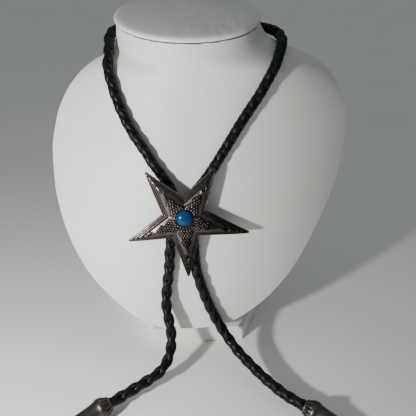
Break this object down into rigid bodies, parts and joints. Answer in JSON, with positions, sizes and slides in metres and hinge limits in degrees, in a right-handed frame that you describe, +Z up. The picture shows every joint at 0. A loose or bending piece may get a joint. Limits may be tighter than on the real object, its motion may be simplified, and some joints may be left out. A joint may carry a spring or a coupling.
{
  "type": "bolo tie on neck bust",
  "caption": "Braided leather bolo tie with a five-pointed antique-silver star slide, a round blue stone and two fluted metal tips, hung on a white neck bust.",
  "frame": {"origin": "centre of the bust's and slide's bounding box, at floor level", "axes": "+Z up, the chest and the star face -Y, +X to the right as seen from the front"},
  "size_m": [0.1605, 0.1531, 0.1801],
  "materials": {
    "bust_leatherette": "satin white leatherette with a fine grain",
    "cap_leatherette": "satin white leatherette with a fine grain",
    "foot_leatherette": "satin white leatherette with a fine grain",
    "antique_silver": "antique silver plate, dark in the recesses",
    "turquoise": "polished turquoise-blue stone with faint dark veins",
    "black_leather": "round-braided leather thong, semi-gloss black",
    "gunmetal": "dark gunmetal plate, worn bright on the edges"
  },
  "bodies": {
    "root": {"bust_body": "bust_leatherette", "neck_cap": "cap_leatherette", "bust_foot": "foot_leatherette", "star_slide": "antique_silver", "turquoise_stone": "turquoise", "cord_loop": "black_leather", "cord_tail_left": "black_leather", "cord_tail_right": "black_leather", "tip_left": "gunmetal", "tip_right": "gunmetal"}
  },
  "joints": []
}
